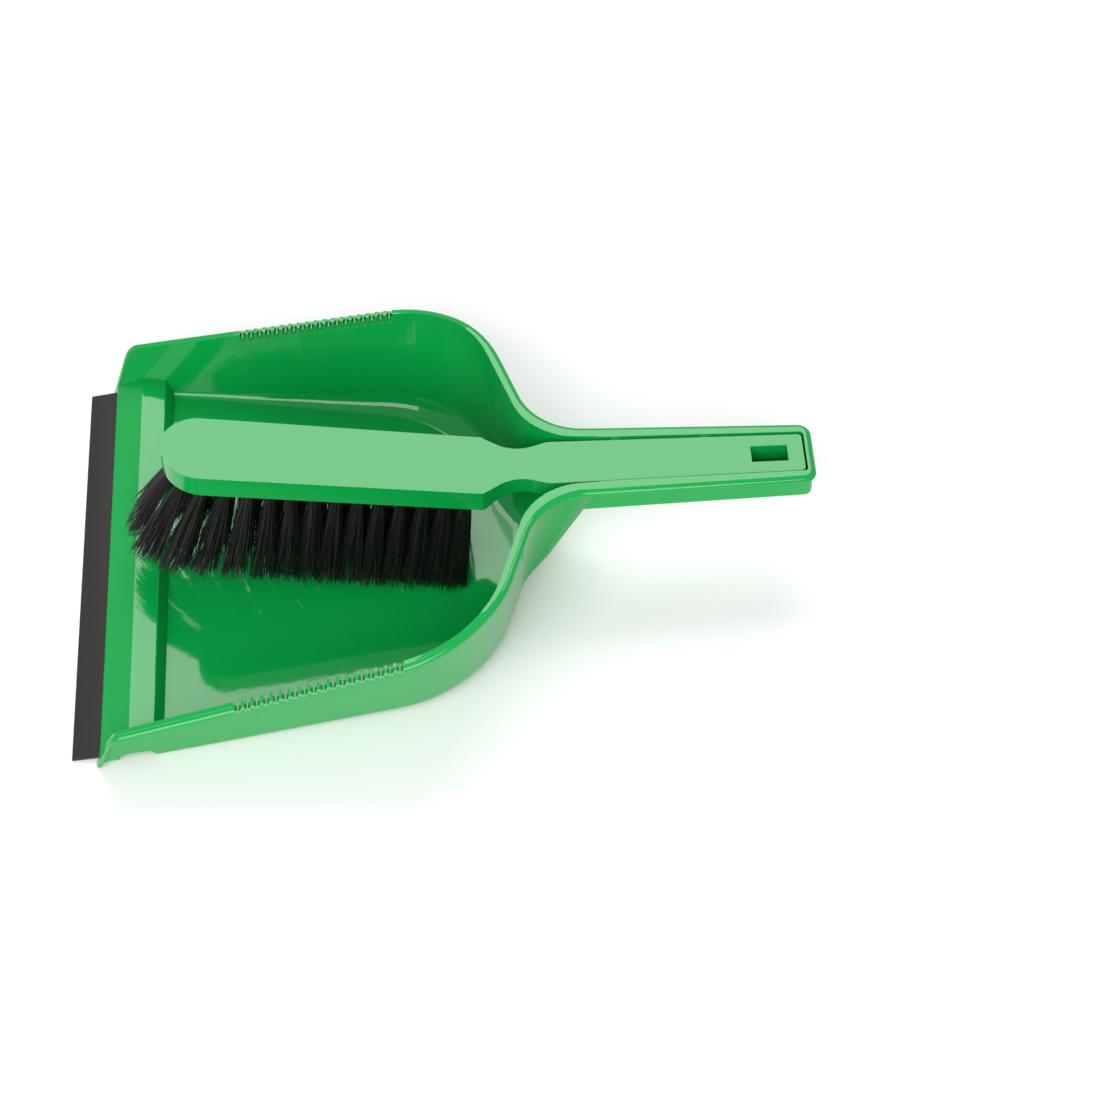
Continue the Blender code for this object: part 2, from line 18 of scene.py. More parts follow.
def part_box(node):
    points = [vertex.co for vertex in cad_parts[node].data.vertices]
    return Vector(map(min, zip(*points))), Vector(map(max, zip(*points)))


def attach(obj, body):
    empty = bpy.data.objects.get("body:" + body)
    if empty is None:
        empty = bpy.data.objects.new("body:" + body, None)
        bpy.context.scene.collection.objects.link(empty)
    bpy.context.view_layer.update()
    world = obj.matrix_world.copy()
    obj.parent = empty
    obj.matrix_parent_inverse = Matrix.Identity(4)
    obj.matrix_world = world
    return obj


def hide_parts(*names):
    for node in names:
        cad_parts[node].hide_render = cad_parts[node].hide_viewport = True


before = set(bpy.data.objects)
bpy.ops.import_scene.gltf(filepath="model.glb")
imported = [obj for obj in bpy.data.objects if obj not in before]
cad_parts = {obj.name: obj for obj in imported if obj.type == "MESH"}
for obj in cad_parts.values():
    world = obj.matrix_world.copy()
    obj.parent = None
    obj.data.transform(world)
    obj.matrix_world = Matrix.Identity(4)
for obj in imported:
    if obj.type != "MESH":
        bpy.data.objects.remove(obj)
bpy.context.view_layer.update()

pan_low, pan_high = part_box("dustpan")
lip_low, lip_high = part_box("rubber_lip")
brush_low, brush_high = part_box("brush_body")
FRONT = lip_low.x                       # the lip's edge, where the lengthwise scale starts
LENGTH = pan_high.x - FRONT
NOSE_X = brush_low.x - FRONT
BRUSH_END = brush_high.x - FRONT
LIP_HALF = lip_high.y

# %% [markdown]
# ## Camera
# The set is seen from in front and well above, through a long lens, so the handle hardly
# narrows with distance. The camera is aimed at a point inside the tray and rolled a little.

# %% Camera
CAMERA_AZIMUTH = math.radians(-2.112)
CAMERA_ELEVATION = math.radians(51.03)
CAMERA_ROLL = math.radians(-1.455)
CAMERA_DISTANCE = 1.3361
CAMERA_AIM = (0.2122, -0.0046, 0.0026)  # along the object from the lip, across, and up
CAMERA_LENS = 96.33                     # millimetres, on a sensor 36 mm wide

away = Vector((math.sin(CAMERA_AZIMUTH) * math.cos(CAMERA_ELEVATION),
               -math.cos(CAMERA_AZIMUTH) * math.cos(CAMERA_ELEVATION), math.sin(CAMERA_ELEVATION)))
level = Vector((math.cos(CAMERA_AZIMUTH), math.sin(CAMERA_AZIMUTH), 0))
upward = away.cross(level)
right = level * math.cos(CAMERA_ROLL) + upward * math.sin(CAMERA_ROLL)
top = upward * math.cos(CAMERA_ROLL) - level * math.sin(CAMERA_ROLL)
eye = Vector((FRONT + CAMERA_AIM[0], CAMERA_AIM[1], CAMERA_AIM[2])) + away * CAMERA_DISTANCE

lens = bpy.data.cameras.new("camera")
lens.lens = CAMERA_LENS
lens.sensor_width = 36.0
camera = bpy.data.objects.new("camera", lens)
bpy.context.scene.collection.objects.link(camera)
camera.matrix_world = Matrix.Translation(eye) @ Matrix((right, top, away)).transposed().to_4x4()
bpy.context.scene.camera = camera
print("camera at", [round(value, 3) for value in eye])

# %% [markdown]
# ## Small tools
# Operators act on whatever is selected, so every step starts by selecting one piece alone.
# Most solids here are made in one of two ways. A slab is an outline that is filled and
# extruded. A skin is a grid primitive whose rows are carried to a list of rings, then welded
# along its seam and filled at both ends.

# %% Tools for selecting, drawing and cutting
WELD = 0.000001                         # vertices closer than this are one
NEAR = 0.0001                           # two heights or places closer than this count as equal
FLAT_WEIGHT = 90                        # how strongly large faces set the shading beside them


def take(piece):
    if bpy.context.mode != "OBJECT":
        bpy.ops.object.mode_set(mode="OBJECT")
    bpy.ops.object.select_all(action="DESELECT")
    piece.select_set(True)
    bpy.context.view_layer.objects.active = piece


def clear_selection():
    if bpy.context.mode != "OBJECT":
        bpy.ops.object.mode_set(mode="OBJECT")
    bpy.ops.object.select_all(action="DESELECT")


def face_out(piece):
    take(piece)
    bpy.ops.object.mode_set(mode="EDIT")
    bpy.ops.mesh.select_all(action="SELECT")
    bpy.ops.mesh.normals_make_consistent(inside=False)
    bpy.ops.object.mode_set(mode="OBJECT")


def slab(name, outline, low, high, upright=False):
    """An outline, filled and extruded from low to high: upward, or, if upright, across."""
    clear_selection()
    bpy.ops.mesh.primitive_circle_add(vertices=len(outline), fill_type="NOTHING")
    piece = bpy.context.object
    piece.name = name
    for vertex, point in zip(piece.data.vertices, outline):
        vertex.co = (point[0], low, point[1]) if upright else (point[0], point[1], low)
    way = (0, high - low, 0) if upright else (0, 0, high - low)
    take(piece)
    bpy.ops.object.mode_set(mode="EDIT")
    bpy.ops.mesh.select_all(action="SELECT")
    bpy.ops.mesh.edge_face_add()
    bpy.ops.mesh.extrude_region_move(TRANSFORM_OT_translate={"value": way})
    bpy.ops.object.mode_set(mode="OBJECT")
    face_out(piece)
    return piece


def skin(name, rings):
    """A closed solid through rings of the same number of points."""
    across = len(rings[0])
    clear_selection()
    bpy.ops.mesh.primitive_grid_add(x_subdivisions=across, y_subdivisions=len(rings) - 1)
    piece = bpy.context.object
    piece.name = name
    for index, vertex in enumerate(piece.data.vertices):
        row, column = divmod(index, across + 1)
        vertex.co = rings[row][column % across]
    bpy.ops.object.mode_set(mode="EDIT")
    bpy.ops.mesh.select_all(action="SELECT")
    bpy.ops.mesh.remove_doubles(threshold=WELD)
    bpy.ops.mesh.fill_holes(sides=0)
    bpy.ops.object.mode_set(mode="OBJECT")
    face_out(piece)
    return piece


def block(name, low, high):
    """A cube primitive between two corners, for cutting and joining."""
    low, high = Vector(low), Vector(high)
    clear_selection()
    bpy.ops.mesh.primitive_cube_add(size=1, location=(low + high) / 2, scale=high - low)
    piece = bpy.context.object
    piece.name = name
    bpy.ops.object.transform_apply(location=True, rotation=True, scale=True)
    return piece


def join(name, pieces):
    clear_selection()
    for piece in pieces:
        piece.select_set(True)
    bpy.context.view_layer.objects.active = pieces[0]
    if len(pieces) > 1:
        bpy.ops.object.join()
    bpy.context.object.name = name
    return bpy.context.object


def combine(piece, tool, operation):
    """Cut, join or intersect a piece with a tool, and remove the tool."""
    step = piece.modifiers.new(operation.lower(), "BOOLEAN")
    step.operation = operation
    step.solver = "EXACT"
    step.object = tool
    take(piece)
    bpy.ops.object.modifier_apply(modifier=step.name)
    bpy.data.objects.remove(tool, do_unlink=True)


def round_edges(piece, chosen, width, segments):
    """Bevel every edge that the test named chosen says yes to."""
    take(piece)
    bpy.ops.object.mode_set(mode="EDIT")
    bpy.ops.mesh.select_all(action="DESELECT")
    mesh = bmesh.from_edit_mesh(piece.data)
    mesh.normal_update()
    count = 0
    for edge in mesh.edges:
        if len(edge.link_faces) == 2 and chosen(edge):
            edge.select_set(True)
            count += 1
    bmesh.update_edit_mesh(piece.data)
    if count:
        bpy.ops.mesh.bevel(offset=width, segments=segments, affect="EDGES", clamp_overlap=True)
    bpy.ops.object.mode_set(mode="OBJECT")
    print(piece.name, "edges rounded:", count)


def smooth(piece, degrees=30, weighted=False):
    """Shade smooth below an angle. Weighted keeps large flat faces flat beside small bevels."""
    take(piece)
    bpy.ops.object.shade_smooth_by_angle(angle=math.radians(degrees))
    if weighted:
        step = piece.modifiers.new("weighted", "WEIGHTED_NORMAL")
        step.keep_sharp = True
        step.weight = FLAT_WEIGHT
        bpy.ops.object.modifier_apply(modifier=step.name)


def finish_piece(piece, material, body, nodes=()):
    """Move a piece from the lengthwise scale to its place, and let it ride on its body."""
    piece.data.transform(Matrix.Translation((FRONT, 0, 0)))
    piece.data.materials.clear()
    piece.data.materials.append(material)
    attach(piece, body)
    if nodes:
        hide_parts(*nodes)
    print(piece.name, "has", len(piece.data.polygons), "faces")


# %% [markdown]
# ## Outlines
# Most outlines here are straight runs joined by arcs, as on a drawing. A corner is a place
# and a radius, and the same list can be moved sideways to give the other side of a wall.

# %% Outlines with rounded corners
def rounded(corners, steps=12, pieces=1):
    """Points along an open run of (x, y, radius) corners. Straight runs are cut in pieces."""
    points = [Vector(corners[0][:2])]

    def run_to(end):
        start = points[-1]
        for step in range(1, pieces + 1):
            points.append(start.lerp(end, step / pieces))

    for before, corner, after in zip(corners, corners[1:], corners[2:]):
        middle = Vector(corner[:2])
        if corner[2] == 0:
            run_to(middle)
            continue
        back = (Vector(before[:2]) - middle).normalized()
        ahead = (Vector(after[:2]) - middle).normalized()
        half = 0.5 * back.angle(ahead)
        centre = middle + (back + ahead).normalized() * (corner[2] / math.sin(half))
        arm = middle + back * (corner[2] / math.tan(half)) - centre
        turn = (math.pi - 2 * half) / steps
        if back.x * ahead.y - back.y * ahead.x > 0:
            turn = -turn
        run_to(centre + arm)
        for step in range(1, steps + 1):
            points.append(centre + Matrix.Rotation(turn * step, 2) @ arm)
    run_to(Vector(corners[-1][:2]))
    return points


def offset(corners, distance):
    """The same run, moved to its right by a distance, with its radii to suit."""
    points = [Vector(corner[:2]) for corner in corners]
    ways = [(end - start).normalized() for start, end in zip(points, points[1:])]
    rights = [Vector((way.y, -way.x)) for way in ways]
    moved = [(*(points[0] + rights[0] * distance), 0)]
    for index in range(1, len(points) - 1):
        way, onward = ways[index - 1], ways[index]
        mitre = (rights[index - 1] + rights[index]).normalized()
        place = points[index] + mitre * (distance / mitre.dot(rights[index]))
        bends_right = way.x * onward.y - way.y * onward.x < 0
        radius = corners[index][2] + (-distance if bends_right else distance)
        moved.append((*place, radius if corners[index][2] else 0))
    moved.append((*(points[-1] + rights[-1] * distance), 0))
    return moved


def mirrored(points):
    return list(points) + [Vector((point.x, -point.y)) for point in reversed(points)]


def on_line(start, end, x):
    return start[1] + (end[1] - start[1]) * (x - start[0]) / (end[0] - start[0])


# %% [markdown]
# ## The tray
# The walls lean outward and the leaning grows towards the back, so the tray is a loft between
# its outline on the floor and its outline at rim height. The inside is a second loft, one wall
# smaller, whose foot is rounded: hardly at all near the mouth, generously at the back corners.
# Cutting the second from the first leaves a shell of even thickness, as a moulding has.

# %% Tray sizes
WALL = 0.0023
FLOOR = 0.0026
WALL_TOP = 0.060
FAR = 0.060                             # how far cutting tools stand out of what they cut
MOUTH_X = 0.004
MOUTH_HALF = 0.1096
BACK_HALF = 0.0845
THROAT_HALF = 0.0152
FOOT_CORNERS = [(MOUTH_X, MOUTH_HALF, 0), (0.1800, BACK_HALF, 0.062), (0.1985, 0.0280, 0.035),
                (0.2045, THROAT_HALF, 0)]
HEAD_CORNERS = [(MOUTH_X, MOUTH_HALF + 0.0121, 0), (0.1795, BACK_HALF + 0.0161, 0.057),
                (0.2073, THROAT_HALF, 0.033), (0.2360, THROAT_HALF, 0)]
FILLET_MOUTH = 0.0015                   # radius between floor and wall, by the ramp
FILLET_BACK = 0.0095                    # and at the back corners
FILLET_FROM = 0.045
FILLET_TO = 0.175
FILLET_STEPS = 6
FILLET_OUTSIDE = 0.0012                 # the foot is rounder outside by this
CORNER_STEPS = 14
WALL_PIECES = 5                         # each straight run of a wall is cut in this many


def wall_ring(z, inset, front_x):
    """Closed outline of the walls at height z, moved in by inset and open at front_x."""
    share = z / WALL_TOP
    corners = []
    for low, high in zip(FOOT_CORNERS, HEAD_CORNERS):
        corners.append(tuple(a + (b - a) * share for a, b in zip(low, high)))
    corners = offset(corners, inset)
    corners[0] = (front_x, on_line(corners[0], corners[1], front_x), 0)
    outline = mirrored(rounded(corners, CORNER_STEPS, WALL_PIECES))
    return [Vector((point.x, point.y, z)) for point in outline]


def fillet_at(x):
    share = min(1.0, max(0.0, (x - FILLET_FROM) / (FILLET_TO - FILLET_FROM)))
    return FILLET_MOUTH + (FILLET_BACK - FILLET_MOUTH) * share


def bowl(name, floor, wall, extra, front_x, top):
    """A loft whose foot is rounded by fillet_at(x) plus extra."""
    foot = wall_ring(0, 0, front_x)
    rings = []
    for step in range(FILLET_STEPS + 1):
        angle = 0.5 * math.pi * step / FILLET_STEPS
        ring = []
        for index, spot in enumerate(foot):
            radius = fillet_at(spot.x) + extra
            z = floor + radius * (1 - math.cos(angle))
            inset = wall + radius * (1 - math.sin(angle))
            ring.append(wall_ring(z, inset, front_x)[index])
        rings.append(ring)
    rings.append(wall_ring(top, wall, front_x))
    return skin(name, rings)


pan = bowl("pan", 0.0, 0.0, FILLET_OUTSIDE, MOUTH_X, WALL_TOP + FLOOR)

# %% [markdown]
# ## The rim
# Seen from the side the rim drops to a tab at the mouth, turns a rounded corner, rises in a
# straight line to the back and falls gently along the handle. Its section is the same all the
# way round: a flat strip, a fine step, and a rounded shoulder that ends two and a half
# millimetres lower. So the section is drawn once and carried along the rim's path, one ring
# after another.

# %% Rim sizes and path
RIM_END_HEIGHT = 0.0569
HANDLE_END_HALF = 0.0165
RIM_THICKNESS = 0.0026
RIM_LINE = [(0.0084, -0.003, 0), (0.0188, 0.0263, 0.010), (0.1840, 0.0599, 0.060)]
past_end = LENGTH + FAR
RIM_LINE.append((past_end, on_line(RIM_LINE[-1], (LENGTH, RIM_END_HEIGHT), past_end), 0))
RIM_PLAN = [(0.0080, MOUTH_HALF - 0.0008, 0), (0.0215, MOUTH_HALF + 0.0052, 0.010),
            (0.1816, 0.1021, 0.060), (0.2085, THROAT_HALF + 0.0049, 0.030),
            (LENGTH, HANDLE_END_HALF, 0.006), (LENGTH, 0, 0)]
RIM_REACH = 0.0090                      # the section reaches this far in, before the inside is cut
RIM_REACH_END = 0.0058                  # and less far near the handle's end
RIM_REACH_CHANGE = 0.300
RIM_PIECES = 3
TAB_END = 0.028                         # the tab's curve is tight, so its rings stand close
TAB_SPACING = 0.0007
RIM_SPACING = 0.0050
MILLI = 0.001
# Distance in from the rim's outer edge, and height above its top, in millimetres.
RIM_SECTION = [(2.55, 0.0), (2.38, -0.03), (2.26, -0.14), (2.20, -0.26), (2.05, -0.33),
               (1.60, -0.40), (1.15, -0.56), (0.72, -0.84), (0.36, -1.20), (0.12, -1.62),
               (0.02, -2.00), (0.0, -2.25), (0.09, -2.50), (0.30, -2.60)]
rim_side = rounded(RIM_LINE, CORNER_STEPS, RIM_PIECES)


def rim_height(x):
    for start, end in zip(rim_side, rim_side[1:]):
        if x <= end.x:
            return on_line(start, end, x)
    return rim_side[-1].y


def rim_path():
    """Points of the rim's outer edge, from the left tab round the handle to the right tab."""
    plan = rounded(RIM_PLAN, CORNER_STEPS)
    path = [plan[0]]
    for point in plan[1:]:
        start = path[-1]
        spacing = TAB_SPACING if start.x < TAB_END else RIM_SPACING
        pieces = math.ceil((point - start).length / spacing)
        path += [start.lerp(point, step / pieces) for step in range(1, pieces + 1)]
    left = [Vector((point.x, point.y, rim_height(point.x))) for point in path]
    return left + [Vector((point.x, -point.y, point.z)) for point in reversed(left[:-1])]


def rim_rings():
    """The section, set square to the path at each of its points."""
    path = rim_path()
    rings = []
    for index, point in enumerate(path):
        before = path[max(index - 1, 0)]
        after = path[min(index + 1, len(path) - 1)]
        along = (after - before).normalized()
        inward = Vector((along.y, -along.x, 0)).normalized()
        above = inward.cross(along).normalized()
        if above.z < 0 or (above.z == 0 and above.x > 0):
            above = -above
        reach = RIM_REACH if point.x < RIM_REACH_CHANGE else RIM_REACH_END
        section = [(reach, 0.0)] + [(a * MILLI, b * MILLI) for a, b in RIM_SECTION]
        section.append((reach, -RIM_THICKNESS))
        rings.append([point + inward * a + above * b for a, b in section])
    return rings


walls_end = rounded(offset(RIM_LINE, RIM_THICKNESS / 2), CORNER_STEPS, RIM_PIECES)
wide = 3 * FAR
above_rim = walls_end + [Vector((past_end, wide)), Vector((-FAR, wide)),
                         Vector((-FAR, walls_end[0].y))]
combine(pan, slab("above_rim", above_rim, -wide, wide, upright=True), "DIFFERENCE")
rim = skin("rim", rim_rings())
combine(pan, rim, "UNION")
print("rim joined,", len(pan.data.polygons), "faces")

# %% [markdown]
# ## The handle's channel
# The handle is a shallow trough under the rim. It is an outline extruded upward, with its
# lower edges rounded, and the brush's handle drops into the space inside it.

# %% Handle
CHANNEL_ROOT = (0.2300, 0.0129)
CHANNEL_END_HALF = 0.0113
CHANNEL_BOTTOM = 0.0420
CHANNEL_FLOOR = 0.0021
END_RIM = 0.0036
CHANNEL_START = 0.2120
CHANNEL_OVERLAP = 0.002                 # the trough starts this far before the space in it
CHANNEL_CORNER = 0.0015
TROUGH_ROUNDING = 0.0016
LONG_RUN = 0.01


def channel_half(x):
    return on_line(CHANNEL_ROOT, (LENGTH - END_RIM, CHANNEL_END_HALF), x)


def channel_outline(inset, start_x):
    end = LENGTH - END_RIM - inset
    half = [(start_x, channel_half(start_x) - inset, 0),
            (end, channel_half(end) - inset, CHANNEL_CORNER - inset), (end, 0, 0)]
    return mirrored(rounded(half, 8)[:-1])


trough = slab("trough", channel_outline(-WALL, CHANNEL_START), CHANNEL_BOTTOM,
              RIM_END_HEIGHT - RIM_THICKNESS / 2)


def is_low_edge(edge):
    """The bottom's outline, except where it crosses the open front."""
    ends = [vertex.co for vertex in edge.verts]
    if any(end.z >= CHANNEL_BOTTOM + NEAR for end in ends):
        return False
    behind_front = all(end.x > CHANNEL_START + CHANNEL_OVERLAP / 2 for end in ends)
    return behind_front or abs(ends[0].x - ends[1].x) > LONG_RUN


round_edges(trough, is_low_edge, TROUGH_ROUNDING, 4)
combine(pan, trough, "UNION")

# %% [markdown]
# ## The ramp and the inside
# Dirt is swept up a ramp with two ridges and drops behind it. In the mould the ramp is a part
# of the core, so here it is cut out of the loft that stands for the space inside the tray.
# Beside the mouth the underside of each wing is arched a little.

# %% Cut the inside, the channel and the underside
RAMP_FRONT = 0.0114
RAMP_LINE = [(RAMP_FRONT, -FAR, 0), (RAMP_FRONT, 0.0050, 0.0004), (0.0253, 0.0112, 0.0014),
             (0.0363, 0.0106, 0.0009), (0.0398, 0.0020, 0), (0.0398, -FAR, 0)]
RAMP_HOLLOW = [(0.0205, 0.0060), (0.0258, 0.0072), (0.0345, 0.0064), (0.0378, 0.0000)]
FRONT_LIFT = 0.0004
MOUTH_OPENING = 0.006                   # the mouth's height above the floor
GAP = 0.0003
WING_ARCH = [(0.0096, -FAR), (0.0096, 0.0), (0.0118, 0.0016), (0.0150, 0.0029), (0.0185, 0.0035),
             (0.0208, 0.0036), (0.0216, 0.0030), (0.0222, -FAR)]

inside = bowl("inside", FLOOR, WALL, 0.0, -FAR, WALL_TOP + FAR / 3)
combine(inside, slab("ramp", rounded(RAMP_LINE, 5), -wide, wide, upright=True), "DIFFERENCE")
combine(pan, inside, "DIFFERENCE")
channel_floor = CHANNEL_BOTTOM + CHANNEL_FLOOR
channel = slab("channel", channel_outline(0, CHANNEL_START + CHANNEL_OVERLAP), channel_floor,
               channel_floor + FAR)
combine(pan, channel, "DIFFERENCE")

hollow_start = RAMP_HOLLOW[0][0]
ground = [(-FAR, FRONT_LIFT), (hollow_start, FRONT_LIFT)] + RAMP_HOLLOW
ground += [(LENGTH, 0.0), (LENGTH, -FAR), (-FAR, -FAR)]
combine(pan, slab("underside", ground, -wide, wide, upright=True), "DIFFERENCE")
inner = LIP_HALF + 2 * GAP
mouth = block("mouth", (-FAR, -inner, -FAR), (RAMP_FRONT, inner, FLOOR + MOUTH_OPENING))
combine(pan, mouth, "DIFFERENCE")
for side in (1, -1):
    near, far = sorted((side * inner, side * wide))
    combine(pan, slab("arch", WING_ARCH, near, far, upright=True), "DIFFERENCE")
print("inside cut,", len(pan.data.polygons), "faces")

# %% [markdown]
# ## The comb
# Bristles are combed clean on the teeth in the side rims. Between two teeth the rim is cut
# down by two millimetres right across, and deeper pockets with rounded ends are sunk behind
# the outer strip, with a thin rib standing in the middle of each. A bar under the rim gives
# the pockets a floor.

# %% Comb
COMB_START = 0.0735
COMB_SLOTS = 18
COMB_PITCH = 0.00408
TOOTH = 0.0012
SLOT_DEPTH = 0.0020
SLOT_OVERCUT = 0.002                    # the slots run out this far past the rim's edge
POCKET_DEPTH = 0.0012                   # below a slot
POCKET_FALL = 0.20                      # how steeply a pocket's floor falls towards the tray
POCKET_CLEAR = 0.00005                  # between a pocket and the teeth beside it
POCKET_LENGTH = 0.0085
STRIP = 0.0011                          # left outside the pockets
THIN_RIB = 0.0006
RIB_OVERLAP = 0.0003                    # how far a thin rib is sunk in the strip
RIB_LENGTH = 0.0047
RIB_FOOT = 0.0010                       # and in the bar below it
RIB_DROP = 0.0001                       # its top lies this far under the slot
COMB_BAR = 0.0044                       # from the rim's top to the bar's lower edge
COMB_BAR_TOP = 0.0022
COMB_BAR_REACH = 0.0040
COMB_BAR_LEAN = 0.0024                  # the bar is deeper on the inside
COMB_BAR_INSETS = (0.0004, 0.0008)      # from the rim's edge, at the bar's top and bottom
COMB_BAR_MARGINS = (0.002, 0.001)       # the bar runs on past the first and last slot
TOOTH_ROUNDING = 0.0003
TOOTH_TOP_WITHIN = 0.00045              # edges this near the rim's top are a tooth's

slot_width = COMB_PITCH - TOOTH
bars, slots, pockets, ribs = [], [], [], []
for index in range(COMB_SLOTS):
    x = COMB_START + index * COMB_PITCH
    middle = x + slot_width / 2
    edge = on_line(RIM_PLAN[1], RIM_PLAN[2], middle)
    top_z = rim_height(middle)
    for side in (1, -1):
        pocket_end = side * (edge - POCKET_LENGTH)
        near, far = sorted((side * (edge + SLOT_OVERCUT), pocket_end))
        slots.append(block("slot", (x, near, top_z - SLOT_DEPTH), (x + slot_width, far, top_z + FAR)))
        radius = slot_width / 2 - POCKET_CLEAR
        start = edge - STRIP - radius
        turns = [math.pi * step / 8 for step in range(9)]
        plan = [(middle + radius * math.cos(turn), side * (start + radius * math.sin(turn)))
                for turn in turns]
        plan += [(middle - radius, pocket_end), (middle + radius, pocket_end)]
        pocket = slab("pocket", plan, top_z - SLOT_DEPTH - POCKET_DEPTH, top_z + FAR)
        for vertex in pocket.data.vertices:
            if vertex.co.z < top_z:
                vertex.co.z -= (edge - abs(vertex.co.y)) * POCKET_FALL
        pockets.append(pocket)
        near, far = sorted((side * (edge - STRIP + RIB_OVERLAP), side * (edge - RIB_LENGTH)))
        ribs.append(block("rib", (middle - THIN_RIB / 2, near, top_z - COMB_BAR - RIB_FOOT),
                          (middle + THIN_RIB / 2, far, top_z - SLOT_DEPTH - RIB_DROP)))
comb_end = COMB_START + COMB_SLOTS * COMB_PITCH
bar_section = [(COMB_BAR_INSETS[0], COMB_BAR_TOP), (COMB_BAR_REACH, COMB_BAR_TOP),
               (COMB_BAR_REACH, COMB_BAR + COMB_BAR_LEAN), (COMB_BAR_INSETS[1], COMB_BAR)]
for side in (1, -1):
    rings = []
    for x in (COMB_START - COMB_BAR_MARGINS[0], comb_end + COMB_BAR_MARGINS[1]):
        edge = on_line(RIM_PLAN[1], RIM_PLAN[2], x)
        rings.append([(x, side * (edge - a), rim_height(x) - b) for a, b in bar_section])
    bars.append(skin("comb_bar", rings))
combine(pan, join("comb_bars", bars), "UNION")
combine(pan, join("slots", slots), "DIFFERENCE")
combine(pan, join("pockets", pockets), "DIFFERENCE")
combine(pan, join("ribs", ribs), "UNION")


def is_tooth_edge(edge):
    """The long upper edges of the teeth, between a flat top and a slot's side."""
    ends = [vertex.co for vertex in edge.verts]
    if any(not COMB_START - NEAR < end.x < comb_end - TOOTH + NEAR for end in ends):
        return False
    if any(abs(end.z - rim_height(end.x)) > TOOTH_TOP_WITHIN for end in ends):
        return False
    facing = sorted(abs(face.normal.x) for face in edge.link_faces)
    return facing[1] > 0.95 and facing[0] < 0.4


round_edges(pan, is_tooth_edge, TOOTH_ROUNDING, 2)
print("comb cut,", len(pan.data.polygons), "faces")

# %% [markdown]
# ## Groove, ribs and nibs
# The lip is held by a round bead in a groove behind the ramp's front edge. In the handle, two
# ribs carry the brush and four small nibs beside it hold it down.

# %% Groove for the lip, ribs and nibs for the brush
LIP_PIVOT = (0.0165, 0.0030)
BEAD = 0.0011
LIP_ROOT = 0.0016
LIP_EDGE = 0.0009
LIP_CLEAR = 0.0003
LIP_LIFT = math.radians(8)
GRIP_THICKNESS = 0.0085
NOSE_HEIGHT = 0.0830
BEND = (0.1830, 0.0586)
BRUSH_END_HEIGHT = 0.0562
BRUSH_GAP = 0.0009
HANDLE_START = (0.2125, 0.0120)
BEAD_STEPS = 24
RIBS_FROM_END = (0.0780, 0.0370)        # of the two ribs, from the handle's end
RIB_WIDTH = 0.002
NIBS_FROM_END = (0.0890, 0.0490)
NIB_LENGTH = 0.004
NIB_HEIGHT = 0.0016
PAN_SMOOTH = 28                         # faces that meet below this angle are shaded as one


def handle_top(x):
    return on_line(BEND, (BRUSH_END, BRUSH_END_HEIGHT), x)


def brush_handle_half(x):
    return on_line(HANDLE_START, (BRUSH_END, channel_half(BRUSH_END) - BRUSH_GAP), x)


pivot_x, pivot_z = LIP_PIVOT
droop = math.atan2(pivot_z - LIP_CLEAR - LIP_EDGE / 2, pivot_x)
mouth_x = RAMP_FRONT - FAR / 10
reach = pivot_x - mouth_x
blade_low = pivot_z - reach * math.tan(droop) - LIP_ROOT / 2 - GAP
blade_high = pivot_z - reach * math.tan(droop - LIP_LIFT) + LIP_ROOT / 2 + GAP
half_root = LIP_ROOT / 2 + GAP
blade_room = [(pivot_x, pivot_z - half_root), (pivot_x, pivot_z + half_root), (mouth_x, blade_high),
              (mouth_x, blade_low)]
bead_room = [(pivot_x + (BEAD + GAP) * math.cos(turn), pivot_z + (BEAD + GAP) * math.sin(turn))
             for turn in (2 * math.pi * step / BEAD_STEPS for step in range(BEAD_STEPS))]
groove_half = LIP_HALF + GAP
groove = slab("groove", bead_room, -groove_half, groove_half, upright=True)
combine(groove, slab("blade_room", blade_room, -groove_half, groove_half, upright=True), "UNION")
combine(pan, groove, "DIFFERENCE")

supports = []
for back in RIBS_FROM_END:
    x = LENGTH - back
    end_x = x + RIB_WIDTH
    half = channel_half(end_x) + WALL / 2
    supports.append(block("support", (x, -half, channel_floor - CHANNEL_FLOOR / 2),
                          (end_x, half, handle_top(end_x) - GRIP_THICKNESS - GAP)))
for back in NIBS_FROM_END:
    x = LENGTH - back
    low = handle_top(x) - NIB_HEIGHT
    for side in (1, -1):
        near, far = sorted((side * (brush_handle_half(x) + GAP), side * (channel_half(x) + WALL / 2)))
        supports.append(block("nib", (x, near, low), (x + NIB_LENGTH, far, low + NIB_HEIGHT)))
combine(pan, join("supports", supports), "UNION")
print("pan done,", len(pan.data.polygons), "faces")

# %% [markdown]
# Last on the pan comes its shading. The large faces keep their own direction, so that they
# mirror the light as flat walls do.

# %% Shade the pan
smooth(pan, PAN_SMOOTH, weighted=True)
print("pan has", len(pan.data.vertices), "vertices")

# %% [markdown]
# ## The lip
# The rubber strip is one outline, the bead with the blade running forward from it, extruded
# across the mouth.

# %% Lip
LIP_ROUNDING = 0.0002
LIP_EDGE_WITHIN = 0.0005                # vertices this near the strip's edge are rounded
bead_open = math.asin(LIP_ROOT / 2 / BEAD)
lip_outline = [(0.0, LIP_CLEAR), (0.0, LIP_CLEAR + LIP_EDGE)]
for step in range(BEAD_STEPS + 1):
    turn = math.pi + droop - bead_open - (2 * math.pi - 2 * bead_open) * step / BEAD_STEPS
    lip_outline.append((pivot_x + BEAD * math.cos(turn), pivot_z + BEAD * math.sin(turn)))
lip = slab("lip", lip_outline, -LIP_HALF, LIP_HALF, upright=True)
round_edges(lip, lambda edge: all(vertex.co.x < LIP_EDGE_WITHIN for vertex in edge.verts),
            LIP_ROUNDING, 2)
smooth(lip)

